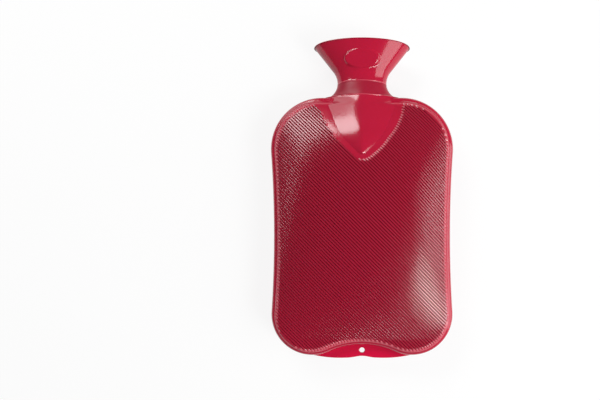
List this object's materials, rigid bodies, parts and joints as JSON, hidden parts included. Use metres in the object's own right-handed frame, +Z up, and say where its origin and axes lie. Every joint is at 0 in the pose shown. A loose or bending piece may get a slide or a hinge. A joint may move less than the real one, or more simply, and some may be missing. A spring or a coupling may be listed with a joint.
{
  "type": "hot water bottle",
  "caption": "Ribbed moulded hot water bottle lying on its back, with oval funnel neck, screw stopper and a hanging flange.",
  "frame": {"origin": "under the middle of the whole bottle, on the surface it rests on", "axes": "+Y along the bottle from its hanging flange to its funnel, +X across it, +Z up out of its ribbed front"},
  "size_m": [0.2002, 0.3452, 0.0649],
  "materials": {
    "soft_plastic": "glossy soft moulded plastic, slightly translucent",
    "hard_plastic": "smooth moulded plastic",
    "washer_rubber": "matt rubber",
    "stopper_plastic": "smooth moulded plastic"
  },
  "bodies": {
    "bottle": {"bottle": "soft_plastic", "neck_insert": "hard_plastic"},
    "washer": {"sealing_washer": "washer_rubber"},
    "stopper": {"stopper": "stopper_plastic"}
  },
  "joints": [
    {"name": "stopper_rise", "type": "slide", "parent": "bottle", "child": "washer", "axis": [0, 1, 0], "range_m": [0, 0.0135]},
    {"name": "stopper_turn", "type": "hinge", "parent": "washer", "child": "stopper", "pos_m": [0, 0.14, 0.0263], "axis": [0, 1, 0], "range_deg": [0, 1080]}
  ],
  "couplings": [
    {"joint": "stopper_rise", "follows": "stopper_turn", "m_per_rad": 0.0007162}
  ]
}
